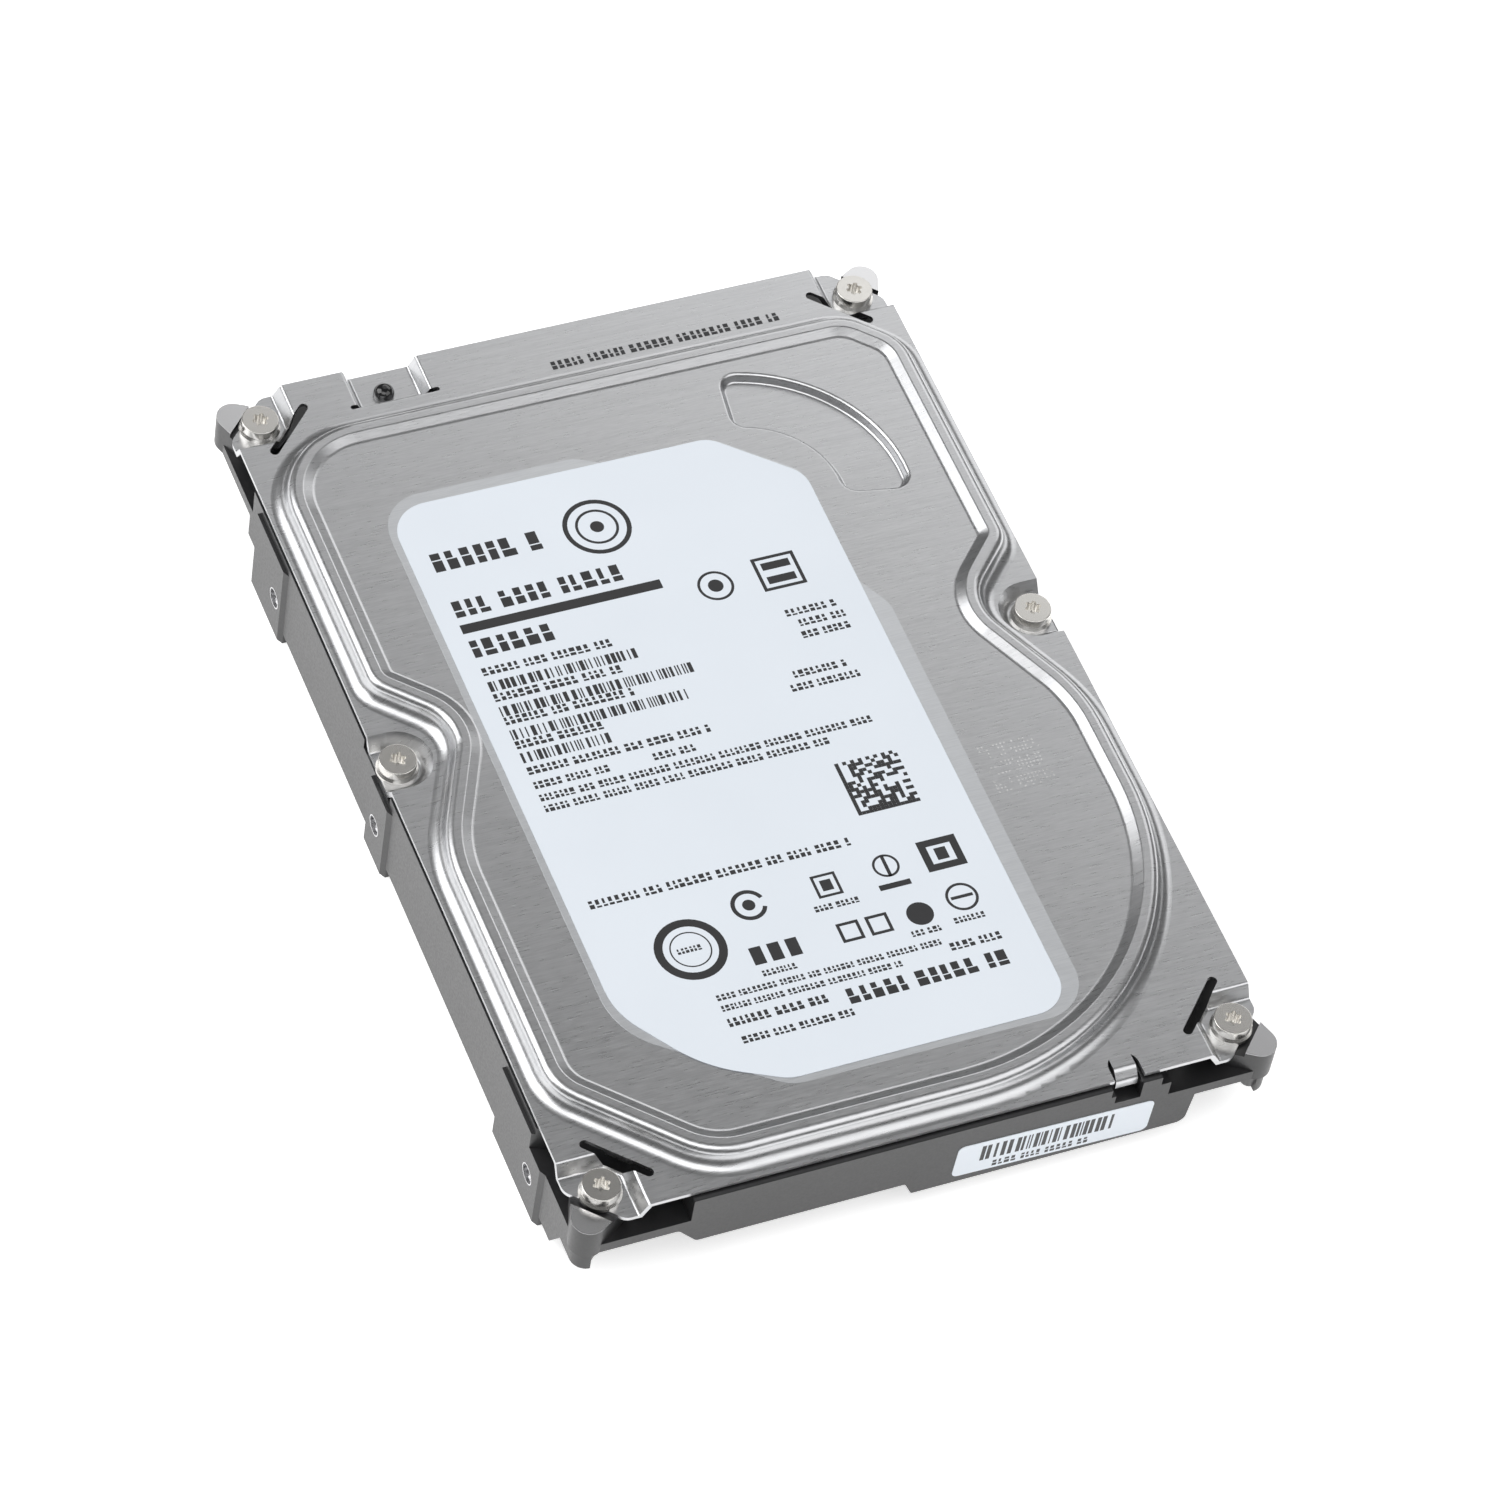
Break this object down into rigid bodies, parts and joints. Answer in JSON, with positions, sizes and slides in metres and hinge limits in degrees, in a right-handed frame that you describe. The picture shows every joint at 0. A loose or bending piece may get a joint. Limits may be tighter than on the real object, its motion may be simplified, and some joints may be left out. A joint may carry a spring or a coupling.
{
  "type": "hard disk drive",
  "caption": "Desktop hard disk drive: cast base with a pressed steel cover, a spinning disk, a swinging head arm, a latch, a circuit board and a data socket.",
  "frame": {"origin": "centre of the footprint at the underside of the mounting pads", "axes": "+X across the drive to the side of the data socket, +Y along the drive to the connector end, +Z out of the top cover"},
  "size_m": [0.1016, 0.147, 0.02],
  "materials": {
    "casting": "satin black coating on die-cast aluminium",
    "cover_steel": "brushed",
    "screw_steel": "nickel plated",
    "dark_steel": "plain",
    "bare_aluminium": "machined",
    "disk_coating": "polished",
    "nickel": "nickel plated",
    "copper": "enamelled copper wire",
    "bronze": "sintered",
    "gold": "gold plated",
    "black_plastic": "moulded",
    "vent_black": "gloss",
    "cream_plastic": "moulded",
    "rubber": "moulded",
    "label_paper": "printed film",
    "clear_film": "thin grey film",
    "board_green": "solder mask",
    "chip_black": "moulded epoxy",
    "foam": "open-cell sheet",
    "filter_white": "felt",
    "polyimide": "flexible film"
  },
  "bodies": {
    "base": {"base_casting": "casting", "top_cover": "cover_steel", "cover_gasket": "rubber", "cover_screws": "screw_steel", "vent_plug": "vent_black", "label_film": "clear_film", "top_label": "label_paper", "front_label": "label_paper", "circuit_board": "board_green", "board_screws": "screw_steel", "controller_chip": "chip_black", "memory_chip": "chip_black", "motor_driver_chip": "chip_black", "flash_chip": "chip_black", "small_components": "cream_plastic", "board_foam": "foam", "sata_connector": "black_plastic", "sata_contacts": "gold", "jumper_block": "black_plastic", "jumper_pins": "gold", "bulkhead_connector": "black_plastic", "motor_base": "bare_aluminium", "bearing_bush": "bronze", "stator_core": "dark_steel", "stator_coils": "copper", "motor_flex": "polyimide", "pivot_shaft": "dark_steel", "pivot_inner_races": "dark_steel", "vcm_bottom_plate": "nickel", "vcm_lower_magnet": "nickel", "vcm_upper_magnet": "nickel", "vcm_top_plate": "nickel", "vcm_pillars": "nickel", "crash_stops": "rubber", "vcm_screws": "screw_steel", "load_ramp": "cream_plastic", "ramp_screw": "screw_steel", "latch_pin": "dark_steel", "recirculation_filter": "filter_white", "desiccant_pack": "filter_white", "head_flex_cable": "polyimide"},
    "spindle": {"spindle_hub": "bare_aluminium", "spindle_shaft": "dark_steel", "rotor_magnet": "nickel", "platter": "disk_coating", "disk_clamp": "bare_aluminium", "clamp_screws": "screw_steel"},
    "actuator": {"actuator_arm": "bare_aluminium", "pivot_sleeve": "dark_steel", "pivot_outer_races": "dark_steel", "pivot_balls": "dark_steel", "coil_overmold": "black_plastic", "voice_coil": "copper", "suspension_upper": "dark_steel", "suspension_lower": "dark_steel", "slider_upper": "chip_black", "slider_lower": "chip_black", "preamp_chip": "chip_black"},
    "latch": {"actuator_latch": "black_plastic"}
  },
  "joints": [
    {"name": "spindle_spin", "type": "hinge", "parent": "base", "child": "spindle", "pos_m": [0, -0.0205, 0.01], "axis": [0, 0, 1], "continuous": true},
    {"name": "actuator_swing", "type": "hinge", "parent": "base", "child": "actuator", "pos_m": [0.0162, 0.0338, 0.0126], "axis": [0, 0, 1], "range_deg": [0, 32.6], "deforming": ["head_flex_cable"]},
    {"name": "latch_swing", "type": "hinge", "parent": "base", "child": "latch", "pos_m": [0.0386, 0.0208, 0.011], "axis": [0, 0, -1], "range_deg": [0, 6]}
  ]
}
